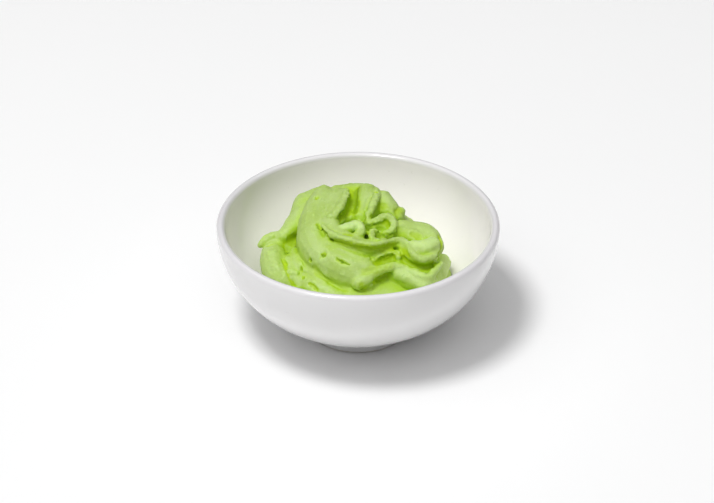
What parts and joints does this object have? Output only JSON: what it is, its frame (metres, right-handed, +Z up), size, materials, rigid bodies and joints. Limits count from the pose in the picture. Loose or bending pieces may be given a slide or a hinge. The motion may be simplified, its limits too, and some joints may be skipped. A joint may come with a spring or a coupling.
{
  "type": "bowl of wasabi paste",
  "caption": "Small round footed porcelain bowl that holds a piped swirl of green wasabi paste, as a condiment for sushi.",
  "frame": {"origin": "on the surface that the foot ring stands on, under the bowl's centre", "axes": "+Z up, the swirl's centre is seen square on from -Y, +X to the right of that view"},
  "size_m": [0.08, 0.08, 0.0365],
  "materials": {
    "porcelain": "glossy white glaze",
    "wasabi_paste": "moist, slightly grainy paste"
  },
  "bodies": {
    "root": {"bowl": "porcelain", "wasabi_paste": "wasabi_paste"}
  },
  "joints": []
}
